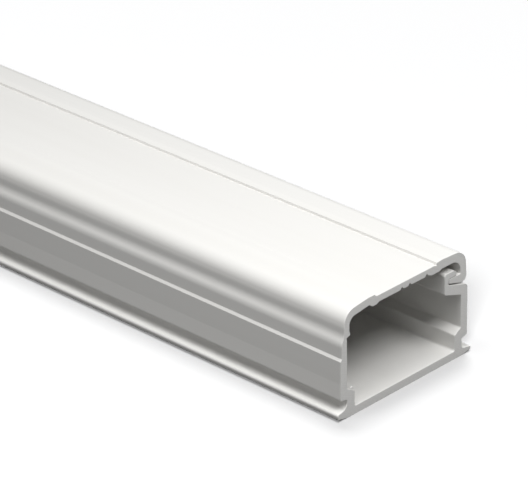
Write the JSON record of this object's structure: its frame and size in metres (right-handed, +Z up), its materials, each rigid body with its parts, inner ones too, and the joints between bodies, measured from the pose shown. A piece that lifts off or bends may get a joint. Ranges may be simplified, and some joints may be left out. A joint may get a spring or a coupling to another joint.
{
  "type": "cord cover raceway",
  "caption": "Straight stick of white vinyl cord cover: a flanged trough with a hinged lid that snaps shut under a lip, cut square at both ends.",
  "frame": {"origin": "middle of the underside of the base, halfway along the stick", "axes": "+X across the base from the hinge side to the latch side, +Y along the stick, +Z up from the base to the lid"},
  "size_m": [0.038, 0.4, 0.0233],
  "materials": {
    "white_vinyl": "satin white rigid vinyl, duller on the two sawn ends"
  },
  "bodies": {
    "root": {"raceway": "white_vinyl"}
  },
  "joints": []
}
